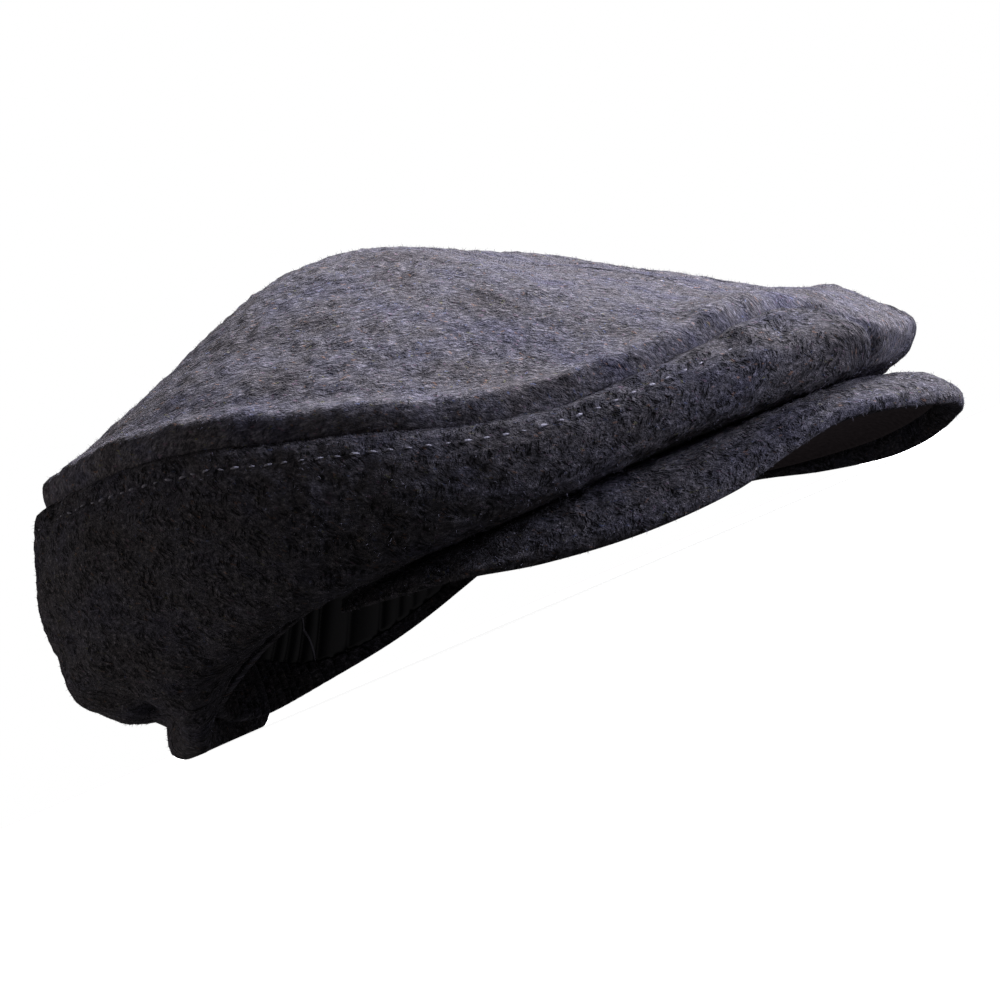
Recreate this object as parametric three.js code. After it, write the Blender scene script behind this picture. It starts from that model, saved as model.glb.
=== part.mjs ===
import * as THREE from "three";
import { mergeVertices } from "three/addons/utils/BufferGeometryUtils.js";

// A flat cap of thick wool tweed, in millimetres. +Z is up, the peak points along -Y and the cap lies on z = 0.
// Angles run round the cap in degrees: 0 is the front, 90 the wearer's right (-X), 180 the back, 270 the left.

const WOOL = 2.2; // thickness of the tweed
const GAP = 0.35; // what is left open between two pieces that meet
const TOP = { back: 11, height: 118.5 }; // the crown's highest point, behind the middle
const LEAN = 0.035; // the cap leans to its left: its right side stands this much higher per mm of width
const FLOOR = { ease: 3, calm: 9 }; // the cloth bends onto the floor over this height, and lies smooth below calm

// The ovals that the cap is drawn round, as seen from above.
const RIM = { front: 100, back: 100, side: 80 }; // the head opening, 57 cm round
const BELLY = { front: 142, back: 132, side: 105 }; // the crown at its widest
const EDGE = { front: 146, back: 146, side: 85 }; // the free edge of the peak

// The crown's section at each angle, the same on both sides. rimZ is where the cloth meets the head opening.
// The roll is its lowest line, rollOut of the way from rim to belly. The seam with the top panel lies at seamIn
// of the belly's reach, and midZ is the height halfway from there to the top.
const SECTIONS = [
  { angle: 0, rimZ: 28, rollOut: 0.86, rollZ: 26, bellyZ: 33, seamIn: 0.91, seamZ: 43.5, midZ: 86.5 },
  { angle: 20, rimZ: 27.5, rollOut: 0.85, rollZ: 26.5, bellyZ: 35, seamIn: 0.91, seamZ: 46.5, midZ: 88 },
  { angle: 40, rimZ: 26, rollOut: 0.82, rollZ: 26, bellyZ: 34, seamIn: 0.95, seamZ: 45.5, midZ: 93 },
  { angle: 60, rimZ: 24, rollOut: 0.8, rollZ: 24.5, bellyZ: 34, seamIn: 0.95, seamZ: 47, midZ: 97.5 },
  { angle: 80, rimZ: 19, rollOut: 0.75, rollZ: 24, bellyZ: 38, seamIn: 0.95, seamZ: 60, midZ: 103 },
  { angle: 100, rimZ: 15, rollOut: 0.65, rollZ: 21.5, bellyZ: 41, seamIn: 0.95, seamZ: 73.5, midZ: 106 },
  { angle: 120, rimZ: 12, rollOut: 0.5, rollZ: 18, bellyZ: 42, seamIn: 0.94, seamZ: 80, midZ: 105 },
  { angle: 140, rimZ: 9, rollOut: 0.4, rollZ: 16, bellyZ: 41, seamIn: 0.92, seamZ: 81.5, midZ: 101 },
  { angle: 160, rimZ: 7, rollOut: 0.35, rollZ: 14, bellyZ: 40, seamIn: 0.89, seamZ: 81, midZ: 98.5 },
  { angle: 180, rimZ: 7, rollOut: 0.3, rollZ: 13, bellyZ: 40, seamIn: 0.87, seamZ: 81, midZ: 98.5 },
];

// The slack cloth that hangs to the floor, from behind the wearer's right ear to the back, and how far the edge
// of the opening rises in front of it.
const POUCH = { from: 110, full: 142, fullTo: 182, to: 204, rollDrop: 20.5, rollIn: 0.22, bellyDrop: 3 };
const RIM_RISE = { angle: 98, spread: 28, right: 7.5, left: 11.5, rollLeft: 4 };

// Folds and dents of the crown: each runs from one angle to another along the rings of its sections, width
// across, depth in (or out, if below 0).
const FOLDS = [
  { name: "belly of the back", angles: [145, 215], rings: [2.3, 2.3], width: 10, depth: -1.5 },
  { name: "lobe above the tuck", angles: [132, 200], rings: [1.85, 1.85], width: 8, depth: -4 },
  { name: "tuck over the resting fold", angles: [134, 196], rings: [1.45, 1.5], width: 6.5, depth: 8 },
  { name: "valley beside the pouch", angles: [141, 132], rings: [1.4, 2.1], width: 8, depth: 2.5 },
  { name: "tuck below the seam", angles: [100, 132], rings: [2.75, 2.87], width: 4, depth: 2 },
];

// The height of the peak's lower edge at each angle, on the right and on the left.
const PEAK_EDGE = [
  { angle: 0, right: 6, left: 6 },
  { angle: 10, right: 7.5, left: 4 },
  { angle: 20, right: 10, left: 3 },
  { angle: 28, right: 11, left: 1.5 },
  { angle: 36, right: 8.5, left: 0.5 },
  { angle: 45, right: 4.5, left: 1 },
  { angle: 57, right: 3.5, left: 5 },
  { angle: 68, right: 6, left: 11 },
  { angle: 78, right: 11, left: 13.5 },
  { angle: 92, right: 15, left: 17 },
  { angle: 102, right: 17, left: 19 },
];
const PEAK = { end: 92, taper: 18, endWidth: 0.3, endThick: 0.5, root: 1.6, dip: 2.5, brow: 0.98 };
const BOARD = { thick: 3.2, edgeThick: 4.6, edgeRound: 0.1 }; // the peak's thickness, and its rolled edge
const UNDERLAY = { from: 0.14, to: 0.84, thick: 1, end: 76 }; // the cloth under the peak, by shares of its width
const TIP = { angle: 7, spread: 12 }; // where the side panel runs out at the front, beside the middle
const SEAM = { ridge: 1.6, ridgeAt: 6, ridgeWidth: 4, groove: 1.2, grooveWidth: 2.4 };
const BAND = { inset: 2.8, thick: 0.9, height: 30, lean: 3, wrinkle: 0.8, wrinkles: 26 };
const STRIP = { end: 93, inset: 2.6, thick: 2.4, height: 3.5, backHeight: 14, sag: 3, ruffle: 1.5, ruffles: 44, spread: 19 };

const { degToRad: rad, lerp, smoothstep, clamp } = THREE.MathUtils;

// How far an angle is from the front, 0 to 180, on either side.
const fromFront = (angle) => Math.abs(((((angle + 180) % 360) + 360) % 360) - 180);
// 1 at the middle of a bump round the cap, falling smoothly to 0.
const bump = (offset, spread) => Math.exp(-((offset / spread) ** 2));

// Which side of the cap an angle is on.
const sideOf = (angle) => (((angle % 360) + 360) % 360 < 180 ? "right" : "left");

// A smooth curve through one column of a table, read at any angle and mirrored on the other side of the cap.
function read(table, column, angle) {
  const at = fromFront(angle);
  const last = table.length - 1;
  const i = clamp(table.findIndex((row) => row.angle >= at), 1, last);
  const slope = (k) => {
    if (k === 0 || k === last) return 0;
    return (table[k + 1][column] - table[k - 1][column]) / (table[k + 1].angle - table[k - 1].angle);
  };
  const [a, b] = [table[i - 1], table[i]];
  const step = b.angle - a.angle;
  const t = (at - a.angle) / step;
  return (
    (2 * t ** 3 - 3 * t ** 2 + 1) * a[column] +
    (t ** 3 - 2 * t ** 2 + t) * slope(i - 1) * step +
    (3 * t ** 2 - 2 * t ** 3) * b[column] +
    (t ** 3 - t ** 2) * slope(i) * step
  );
}

// The point of an oval at an angle and a height, moved in by an inset.
function onOval(oval, angle, z, inset = 0) {
  const c = Math.cos(rad(angle));
  const along = c > 0 ? oval.front : oval.back;
  const point = new THREE.Vector3(-oval.side * Math.sin(rad(angle)), -along * c, 0);
  return point.setLength(point.length() - inset).setZ(z);
}

// Leans a point with the cap.
const lean = (point) => point.setZ(point.z - LEAN * point.x);

// Leans a point and bends it onto the floor, as the floor does with soft cloth.
function settle(point) {
  const z = lean(point).z;
  const below = clamp((z + FLOOR.ease) / (2 * FLOOR.ease), 0, 1);
  return point.setZ(z > FLOOR.ease ? z : FLOOR.ease * below ** 2);
}

// How much the opening's edge rises over the ear at an angle, 0 to 1.
const rimRise = (angle) => bump(fromFront(angle) - RIM_RISE.angle, RIM_RISE.spread);

// The height of the head opening's edge at an angle.
function rimHeight(angle) {
  return read(SECTIONS, "rimZ", angle) + RIM_RISE[sideOf(angle)] * rimRise(angle);
}

const apex = new THREE.Vector3(0, TOP.back, TOP.height);
const SEAM_RING = 3; // the seam's place among the rings of crownCurve
const TOP_RING = 5; // the apex's

// The crown's section at an angle: a smooth curve from the rim over roll, belly and seam to the top.
function crownCurve(angle) {
  const round = ((angle % 360) + 360) % 360;
  const pouch = smoothstep(round, POUCH.from, POUCH.full) * (1 - smoothstep(round, POUCH.fullTo, POUCH.to));
  const rim = onOval(RIM, angle, rimHeight(angle));
  const belly = onOval(BELLY, angle, read(SECTIONS, "bellyZ", angle) - POUCH.bellyDrop * pouch);
  const roll = rim.clone().lerp(belly, read(SECTIONS, "rollOut", angle) - POUCH.rollIn * pouch);
  roll.z = read(SECTIONS, "rollZ", angle) - POUCH.rollDrop * pouch;
  if (sideOf(angle) === "left") roll.z += RIM_RISE.rollLeft * rimRise(angle);
  const seam = belly.clone().multiplyScalar(read(SECTIONS, "seamIn", angle));
  seam.z = read(SECTIONS, "seamZ", angle);
  const mid = seam.clone().lerp(apex, 0.5).setZ(read(SECTIONS, "midZ", angle));
  const beyond = apex.clone().multiplyScalar(2).sub(mid).setZ(mid.z); // makes the curve level at the top
  return new THREE.CatmullRomCurve3([rim, roll, belly, seam, mid, apex, beyond], false, "centripetal");
}

// The bare crown surface: t counts rings, from 0 at the rim to TOP_RING at the top.
const curves = new Map();
function bareCrown(angle, t) {
  const key = angle.toFixed(4);
  if (!curves.has(key)) curves.set(key, crownCurve(angle));
  return settle(curves.get(key).getPoint(clamp(t, 0, TOP_RING) / (TOP_RING + 1)));
}

// Where the top panel begins at an angle: on the seam ring, but down at the rim between the tips in front.
function seamAt(angle) {
  const rise = clamp((fromFront(angle) - TIP.angle) / TIP.spread, 0, 1);
  return SEAM_RING * Math.sqrt(rise * (2 - rise));
}

// The outward normal of a surface given as a function of angle and place.
function normalOf(surface, angle, place, most) {
  const [da, dp] = [0.5, 0.004 * most];
  const across = surface(angle + da, place).sub(surface(angle - da, place));
  const along = surface(angle, Math.min(place + dp, most)).sub(surface(angle, Math.max(place - dp, 0)));
  return along.cross(across).normalize();
}

// The distance of a point from the nearest place on a chain of points.
function distanceTo(chain, point) {
  const line = new THREE.Line3();
  const nearest = new THREE.Vector3();
  const distances = chain.slice(1).map((end, i) => {
    line.set(chain[i], end).closestPointToPoint(point, true, nearest);
    return nearest.distanceTo(point);
  });
  return Math.min(...distances);
}

// Evenly spaced numbers, both ends included.
const steps = (from, to, count) => Array.from({ length: count + 1 }, (_, i) => lerp(from, to, i / count));

const seamLine = steps(TIP.angle, 360 - TIP.angle, 240).map((angle) => bareCrown(angle, seamAt(angle)));
const folds = FOLDS.map(({ angles, rings, ...fold }) => {
  return { ...fold, line: steps(0, 1, 12).map((share) => bareCrown(lerp(...angles, share), lerp(...rings, share))) };
});

// How far the cloth stands out at a point: the folds, the groove of the seam and the rolled ridge above it.
function relief(angle, t, point) {
  const seam = distanceTo(seamLine, point);
  let out = -SEAM.groove * bump(seam, SEAM.grooveWidth);
  const ridge = SEAM.ridge * smoothstep(fromFront(angle), 20, 60);
  if (t > seamAt(angle)) out += ridge * bump(seam - SEAM.ridgeAt, SEAM.ridgeWidth);
  for (const { line, depth, width } of folds) out -= depth * bump(distanceTo(line, point), width);
  return out * smoothstep(point.z, 0, FLOOR.calm);
}

// A point of the crown's cloth, depth below its outer face.
function crown(angle, t, depth = 0) {
  const point = bareCrown(angle, t);
  const out = normalOf(bareCrown, angle, t, TOP_RING);
  if (t > TOP_RING - 0.01) out.set(LEAN, 0, 1);
  point.addScaledVector(out, relief(angle, t, point) - depth);
  return point.setZ(Math.max(point.z, 0));
}

// A closed sheet of cloth: for each section round the cap, a row of outer and a row of inner points.
function sheet(sections, closed = false) {
  const positions = [];
  const triangle = (...corners) => {
    const [a, b, c] = corners;
    const shortest = Math.min(a.distanceTo(b), b.distanceTo(c), c.distanceTo(a));
    if (shortest > 2e-3) corners.forEach((p) => positions.push(p.x, p.y, p.z));
  };
  const quad = (a, b, c, d) => {
    triangle(a, b, c);
    triangle(a, c, d);
  };
  const count = sections.length;
  const rows = sections[0].outer.length - 1;
  for (let i = 0; i < (closed ? count : count - 1); i++) {
    const [here, next] = [sections[i], sections[(i + 1) % count]];
    for (let j = 0; j < rows; j++) {
      quad(here.outer[j], next.outer[j], next.outer[j + 1], here.outer[j + 1]);
      quad(here.inner[j + 1], next.inner[j + 1], next.inner[j], here.inner[j]);
    }
    quad(here.inner[0], next.inner[0], next.outer[0], here.outer[0]);
    quad(here.outer[rows], next.outer[rows], next.inner[rows], here.inner[rows]);
  }
  if (!closed) {
    const [first, end] = [sections[0], sections[count - 1]];
    for (let j = 0; j < rows; j++) {
      quad(first.outer[j], first.outer[j + 1], first.inner[j + 1], first.inner[j]);
      quad(end.inner[j], end.inner[j + 1], end.outer[j + 1], end.outer[j]);
    }
  }
  const geometry = new THREE.BufferGeometry();
  geometry.setAttribute("position", new THREE.Float32BufferAttribute(positions, 3));
  const merged = mergeVertices(geometry, 1e-3);
  if (volume(merged) < 0) merged.index.array.reverse();
  merged.computeVertexNormals();
  return merged;
}

function volume({ index, attributes }) {
  const corners = [0, 1, 2].map(() => new THREE.Vector3());
  let sum = 0;
  for (let i = 0; i < index.count; i += 3) {
    corners.forEach((corner, k) => corner.fromBufferAttribute(attributes.position, index.getX(i + k)));
    sum += corners[0].dot(corners[1].clone().cross(corners[2])) / 6;
  }
  return sum;
}

// The angles of the crown's sections: even all round, and close together where the side panel runs out.
const SECTION_COUNT = 52;
const tipEnd = TIP.angle + TIP.spread;
const tipAngles = steps(0, 1, 8).map((rise) => TIP.angle + TIP.spread * (1 - Math.sqrt(1 - rise ** 2)));
const crownAngles = [
  ...tipAngles,
  ...steps(tipEnd, 360 - tipEnd, SECTION_COUNT).slice(1, -1),
  ...tipAngles.map((angle) => 360 - angle).reverse(),
  ...steps(-TIP.angle, TIP.angle, 4).slice(1, -1),
];

// The crown's cloth at the places on each section that a function of the angle lists.
function crownSheet(angles, placesAt, closed) {
  const sections = angles.map((angle) => {
    const face = (depth) => placesAt(angle).map((t) => crown(angle, t, depth));
    return { outer: face(0), inner: face(WOOL) };
  });
  return sheet(sections, closed);
}

// The top panel: rows above the seam, and rows between the tips that close up where the side panel begins.
function topPanel() {
  const above = [0, 0.04, 0.09, 0.15, 0.24, 0.35, 0.49, 0.65, 0.83, 1];
  const places = (angle) => [
    ...steps(seamAt(angle), SEAM_RING, 4).slice(0, -1),
    ...above.map((share) => lerp(SEAM_RING, TOP_RING, share)),
  ];
  return crownSheet(crownAngles, places, true);
}

// The side panel stops short of the seam by the gap, both up the section and round the cap.
function sidePanel() {
  const shift = THREE.MathUtils.radToDeg((4.5 * GAP) / BELLY.front);
  const seamBefore = (angle) => Math.min(seamAt(angle), seamAt(angle - shift), seamAt(angle + shift));
  const high = (angle) => {
    const t = seamBefore(angle);
    return t - (GAP * 0.2) / bareCrown(angle, t).distanceTo(bareCrown(angle, t - 0.2));
  };
  const shares = [0, 0.08, 0.17, 0.26, 0.34, 0.4, 0.45, 0.5, 0.56, 0.65, 0.77, 0.91, 1];
  const angles = crownAngles.filter((angle) => seamBefore(angle) > 0.4);
  return crownSheet(angles, (angle) => shares.map((share) => share * high(angle)), false);
}

// A point of the middle surface of the peak, share of the way from the rim to the free edge.
function peakMiddle(angle, share) {
  const taper = smoothstep(PEAK.end - fromFront(angle), -2, PEAK.taper);
  const root = onOval(RIM, angle, rimHeight(angle) - PEAK.root - BOARD.thick / 2, -GAP);
  const edge = root.clone().lerp(onOval(EDGE, angle, 0), lerp(PEAK.endWidth, 1, taper));
  edge.z = read(PEAK_EDGE, sideOf(angle), angle) + BOARD.edgeThick / 2;
  const brow = root.clone().lerp(edge, PEAK.brow).setZ(Math.max(root.z - PEAK.dip, edge.z));
  const rise = root.clone().lerp(edge, 0.5).setZ(root.z - PEAK.dip);
  return new THREE.CubicBezierCurve3(root, rise, brow, edge).getPoint(share);
}

const peakAngles = steps(-PEAK.end, PEAK.end, 40);
const peakShares = steps(0, UNDERLAY.to, 6);

// The stiff peak: two faces, a thick rolled edge that is round, and thin ends.
function peak() {
  const flat = 1 - BOARD.edgeRound;
  const shares = [...peakShares, flat, ...[0.35, 0.65, 0.88, 1].map((turn) => flat + BOARD.edgeRound * turn)];
  const sections = peakAngles.map((angle) => {
    const thin = lerp(PEAK.endThick, 1, smoothstep(PEAK.end - fromFront(angle), 0, PEAK.end - UNDERLAY.end));
    const face = (side) =>
      shares.map((share) => {
        const full = thin * lerp(BOARD.thick, BOARD.edgeThick, smoothstep(share, UNDERLAY.to, flat));
        const half = (full / 2) * Math.sqrt(1 - clamp((share - flat) / BOARD.edgeRound, 0, 1) ** 2);
        const out = normalOf(peakMiddle, angle, share, 1);
        return lean(peakMiddle(angle, share).addScaledVector(out, side * half));
      });
    return { outer: face(-1), inner: face(1) };
  });
  return sheet(sections);
}

// The cloth under the peak, inside its rolled edge.
function peakUnderlay() {
  const shares = peakShares.filter((share) => share > UNDERLAY.from - 0.01);
  const sections = peakAngles.filter((angle) => fromFront(angle) < UNDERLAY.end).map((angle) => {
    const face = (drop) =>
      shares.map((share) => {
        const down = normalOf(peakMiddle, angle, share, 1);
        return lean(peakMiddle(angle, share).addScaledVector(down, BOARD.thick / 2 + GAP + drop));
      });
    return { outer: face(0), inner: face(UNDERLAY.thick) };
  });
  return sheet(sections);
}

// How much of the elastic's gathering there is at an angle: 1 at the back.
const gathered = (angle) => bump(180 - fromFront(angle), STRIP.spread);

// The narrow edge of tweed along the foot of the sweatband, ruffled by the elastic at the back.
function rimStrip() {
  const angles = steps(STRIP.end, 360 - STRIP.end, 110);
  const ruffle = (angle) => STRIP.ruffle * gathered(angle) * Math.cos(rad(angle * STRIP.ruffles));
  const sections = angles.map((angle) => {
    const low = rimHeight(angle) - 0.5 - STRIP.sag * gathered(angle);
    const face = (depth) =>
      steps(0, 1, 3).map((share) => {
        const bulge = 1.2 * gathered(angle) * Math.sin(Math.PI * share);
        const inset = STRIP.inset + depth + bulge + ruffle(angle) * (0.4 + 0.6 * share) + STRIP.ruffle * gathered(angle);
        return lean(onOval(RIM, angle, lerp(low, stripTop(angle), share), inset));
      });
    return { outer: face(0), inner: face(STRIP.thick) };
  });
  return sheet(sections);
}
const stripTop = (angle) => rimHeight(angle) + lerp(STRIP.height, STRIP.backHeight, gathered(angle));

// The sweatband: a thin strip inside the rim, all the way round, with soft wrinkles.
function sweatband() {
  const sections = steps(0, 360, 104).slice(0, -1).map((angle) => {
    const low = stripTop(angle) + GAP;
    const high = rimHeight(angle) + BAND.height;
    const face = (depth) =>
      steps(0, 1, 2).map((share) => {
        const wave = BAND.wrinkle * Math.cos(rad(angle * BAND.wrinkles)) * gathered(angle) * share;
        return lean(onOval(RIM, angle, lerp(low, high, share), BAND.inset + BAND.lean * share + depth + wave));
      });
    return { outer: face(0), inner: face(BAND.thick) };
  });
  return sheet(sections, true);
}

const fabric = (color, roughness) => new THREE.MeshStandardMaterial({ color, roughness, metalness: 0 });
const TWEED = fabric("#3a3a42", 0.95);
const UNDERSIDE = fabric("#2c292b", 0.95);
const SATIN = fabric("#0d0d12", 0.5);

function named(name, geometry, material) {
  const mesh = new THREE.Mesh(geometry, material);
  mesh.name = name;
  return mesh;
}

const cap = new THREE.Group();
cap.add(
  named("top_panel", topPanel(), TWEED),
  named("side_panel", sidePanel(), TWEED),
  named("peak", peak(), TWEED),
  named("peak_underlay", peakUnderlay(), UNDERSIDE),
  named("rim_strip", rimStrip(), TWEED),
  named("sweatband", sweatband(), SATIN),
);

// The origin is on the floor under the middle of the whole cap.
const bounds = new THREE.Box3().setFromObject(cap);
const middle = bounds.getCenter(new THREE.Vector3());
cap.position.set(-middle.x, -middle.y, -bounds.min.z);

export default cap;
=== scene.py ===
# %% [markdown]
# A flat cap of thick, dark wool tweed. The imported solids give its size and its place. Each piece of cloth
# is drawn again here with the same curves but a much finer mesh, so that its folds, its nap and its stitches
# show.

import bmesh
import bpy
import numpy as np
from mathutils import Matrix, Vector


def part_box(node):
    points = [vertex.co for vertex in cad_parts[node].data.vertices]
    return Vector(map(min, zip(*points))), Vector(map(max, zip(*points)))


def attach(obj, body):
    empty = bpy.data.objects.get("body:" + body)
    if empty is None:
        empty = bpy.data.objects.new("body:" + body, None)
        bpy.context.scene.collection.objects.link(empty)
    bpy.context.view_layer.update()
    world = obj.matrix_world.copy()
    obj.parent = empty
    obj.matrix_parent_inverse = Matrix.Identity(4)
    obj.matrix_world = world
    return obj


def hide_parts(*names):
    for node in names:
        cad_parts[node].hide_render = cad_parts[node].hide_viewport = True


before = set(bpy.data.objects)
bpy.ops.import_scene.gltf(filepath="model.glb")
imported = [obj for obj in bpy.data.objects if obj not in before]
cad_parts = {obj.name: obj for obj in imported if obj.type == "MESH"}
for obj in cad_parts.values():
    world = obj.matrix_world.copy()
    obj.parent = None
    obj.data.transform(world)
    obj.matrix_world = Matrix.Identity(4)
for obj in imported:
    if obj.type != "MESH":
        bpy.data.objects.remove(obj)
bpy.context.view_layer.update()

# %% [markdown]
# The cap has no straight edge or flat face, so it is drawn round three ovals: the head opening, the crown at
# its widest and the free edge of the peak. A short table says how high the cloth is at each angle round them.
# It could be sculpted instead, but from a table each fold can be moved by one number.

# %% Sizes in millimetres and degrees
WOOL = 2.2  # thickness of the tweed
GAP = 0.35  # what is left open between two pieces
TOP = {"back": 11, "height": 118.5}
LEAN = 0.035  # the right side stands this much higher per millimetre of width
FLOOR = {"ease": 3, "calm": 9}
RIM = {"front": 100, "back": 100, "side": 80}
BELLY = {"front": 142, "back": 132, "side": 105}
EDGE = {"front": 146, "back": 146, "side": 85}


def table(columns, rows):
    """A table with named columns, as one array for each column."""
    return dict(zip(columns, np.array(rows, float).T))


SECTIONS = table(
    ("angle", "rim_z", "roll_out", "roll_z", "belly_z", "seam_in", "seam_z", "mid_z"),
    [
        (0, 28, 0.86, 26, 33, 0.91, 43.5, 86.5),
        (20, 27.5, 0.85, 26.5, 35, 0.91, 46.5, 88),
        (40, 26, 0.82, 26, 34, 0.95, 45.5, 93),
        (60, 24, 0.8, 24.5, 34, 0.95, 47, 97.5),
        (80, 19, 0.75, 24, 38, 0.95, 60, 103),
        (100, 15, 0.65, 21.5, 41, 0.95, 73.5, 106),
        (120, 12, 0.5, 18, 42, 0.94, 80, 105),
        (140, 9, 0.4, 16, 41, 0.92, 81.5, 101),
        (160, 7, 0.35, 14, 40, 0.89, 81, 98.5),
        (180, 7, 0.3, 13, 40, 0.87, 81, 98.5),
    ],
)
POUCH = {"from": 110, "full": 142, "full_to": 182, "to": 204}
POUCH |= {"roll_drop": 20.5, "roll_in": 0.22, "belly_drop": 3}
RIM_RISE = {"angle": 98, "spread": 28, "right": 7.5, "left": 11.5, "roll_left": 4}
FOLDS = {
    "belly of the back": {"angles": (145, 215), "rings": (2.3, 2.3), "width": 10, "depth": -1.5},
    "lobe above the tuck": {"angles": (132, 200), "rings": (1.85, 1.85), "width": 8, "depth": -4},
    "tuck over the lowest fold": {"angles": (134, 196), "rings": (1.45, 1.5), "width": 6.5, "depth": 8},
    "valley beside the pouch": {"angles": (141, 132), "rings": (1.4, 2.1), "width": 8, "depth": 2.5},
    "tuck below the seam": {"angles": (100, 132), "rings": (2.75, 2.87), "width": 4, "depth": 2},
    "plump front edge": {"angles": (334, 386), "rings": (3.1, 3.1), "width": 12, "depth": -3.2},
}
PEAK_EDGE = table(
    ("angle", "right", "left"),
    [
        (0, 6, 6),
        (10, 7.5, 4),
        (20, 10, 3),
        (28, 11, 1.5),
        (36, 8.5, 0.5),
        (45, 4.5, 1),
        (57, 3.5, 5),
        (68, 6, 11),
        (78, 11, 13.5),
        (92, 15, 17),
        (102, 17, 19),
    ],
)
PEAK = {"end": 92, "taper": 18, "end_width": 0.3, "end_thick": 0.5, "root": 1.6, "dip": 2.5, "brow": 0.98}
BOARD = {"thick": 3.2, "edge_thick": 4.6, "edge_round": 0.1}
UNDERLAY = {"from": 0.14, "to": 0.84, "thick": 1, "end": 76}
TIP = {"angle": 7, "spread": 12}
SEAM = {"ridge": 1.9, "ridge_at": 6, "ridge_width": 3.6, "groove": 2.3, "groove_width": 2.1}
SEAM_FADE = {"tips": (12, 36), "back": (135, 165), "back_loss": 0.6}
SEAM_FADE |= {"uneven": 0.45, "uneven_size": 11, "apart": 7}
BAND = {"inset": 2.8, "thick": 0.9, "height": 30, "lean": 3}
STRIP = {"end": 93, "inset": 2.6, "thick": 2.4, "height": 3.5, "back_height": 14, "sag": 3, "spread": 19}
STRIP_FACE = {"under": 0.5, "bulge": 1.2, "uneven": 0.6}
SEAM_RING = 3  # the seam among the points of a section, counted from the rim
TOP_RING = 5
A_LITTLE = 0.01  # of the way from one of these points to the next
MM = 0.001

# %% [markdown]
# Angles run round the cap from the front, 90 being the wearer's right. These helpers read a table at any
# angle and work on whole arrays of points at once, because a loop over each point would take minutes.


# %% Helpers for curves
def smoothstep(value, low, high):
    t = np.clip((value - low) / (high - low), 0, 1)
    return t * t * (3 - 2 * t)


def bump(offset, spread):
    return np.exp(-((offset / spread) ** 2))


def from_front(angle):
    return np.abs((angle + 180) % 360 - 180)


def is_left(angle):
    return angle % 360 >= 180


def read(columns, name, angle):
    """A smooth curve through one column of a table, mirrored on the other side of the cap."""
    knots, values = columns["angle"], columns[name]
    slopes = np.zeros_like(values)
    slopes[1:-1] = (values[2:] - values[:-2]) / (knots[2:] - knots[:-2])
    at = from_front(angle)
    i = np.clip(np.searchsorted(knots, at), 1, len(knots) - 1)
    step = knots[i] - knots[i - 1]
    t = (at - knots[i - 1]) / step
    start = (2 * t**3 - 3 * t**2 + 1) * values[i - 1] + (t**3 - 2 * t**2 + t) * slopes[i - 1] * step
    return start + (3 * t**2 - 2 * t**3) * values[i] + (t**3 - t**2) * slopes[i] * step


def on_oval(oval, angle, z, inset=0.0):
    """The point of an oval at an angle and a height, moved in by an inset."""
    c, s = np.cos(np.radians(angle)), np.sin(np.radians(angle))
    x = -oval["side"] * s
    y = -np.where(c > 0, oval["front"], oval["back"]) * c
    length = np.hypot(x, y)
    share = (length - inset) / length
    return np.stack(np.broadcast_arrays(x * share, y * share, z), axis=-1)


def lean(points):
    leant = points.copy()
    leant[..., 2] -= LEAN * points[..., 0]
    return leant


def settle(points):
    """Leans the cloth and bends it onto the floor, where it is slack enough to reach it."""
    bent = lean(points)
    ease = FLOOR["ease"]
    below = np.clip((bent[..., 2] + ease) / (2 * ease), 0, 1)
    bent[..., 2] = np.where(bent[..., 2] > ease, bent[..., 2], ease * below**2)
    return bent


def rim_rise(angle):
    return bump(from_front(angle) - RIM_RISE["angle"], RIM_RISE["spread"])


def rim_height(angle):
    rise = np.where(is_left(angle), RIM_RISE["left"], RIM_RISE["right"])
    return read(SECTIONS, "rim_z", angle) + rise * rim_rise(angle)


def unit(vectors):
    return vectors / np.maximum(np.linalg.norm(vectors, axis=-1, keepdims=True), 1e-9)


# %% [markdown]
# The crown's section at each angle is one smooth curve: from the head opening down and out round the roll,
# over the belly, past the seam and up to the top. A centripetal curve never loops between points that lie at
# uneven distances, and here they do.


# %% The crown's sections
def crown_points(angle):
    turn = angle % 360
    pouch = smoothstep(turn, POUCH["from"], POUCH["full"])
    pouch = pouch * (1 - smoothstep(turn, POUCH["full_to"], POUCH["to"]))
    rim = on_oval(RIM, angle, rim_height(angle))
    belly = on_oval(BELLY, angle, read(SECTIONS, "belly_z", angle) - POUCH["belly_drop"] * pouch)
    out = read(SECTIONS, "roll_out", angle) - POUCH["roll_in"] * pouch
    roll = rim + (belly - rim) * out[:, None]
    roll[:, 2] = read(SECTIONS, "roll_z", angle) - POUCH["roll_drop"] * pouch
    roll[:, 2] += np.where(is_left(angle), RIM_RISE["roll_left"] * rim_rise(angle), 0)
    seam = belly * read(SECTIONS, "seam_in", angle)[:, None]
    seam[:, 2] = read(SECTIONS, "seam_z", angle)
    apex = np.broadcast_to((0.0, TOP["back"], TOP["height"]), seam.shape)
    mid = (seam + apex) / 2
    mid[:, 2] = read(SECTIONS, "mid_z", angle)
    beyond = 2 * apex - mid
    beyond[:, 2] = mid[:, 2]
    return np.stack([rim, roll, belly, seam, mid, apex, beyond], axis=1)


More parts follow.
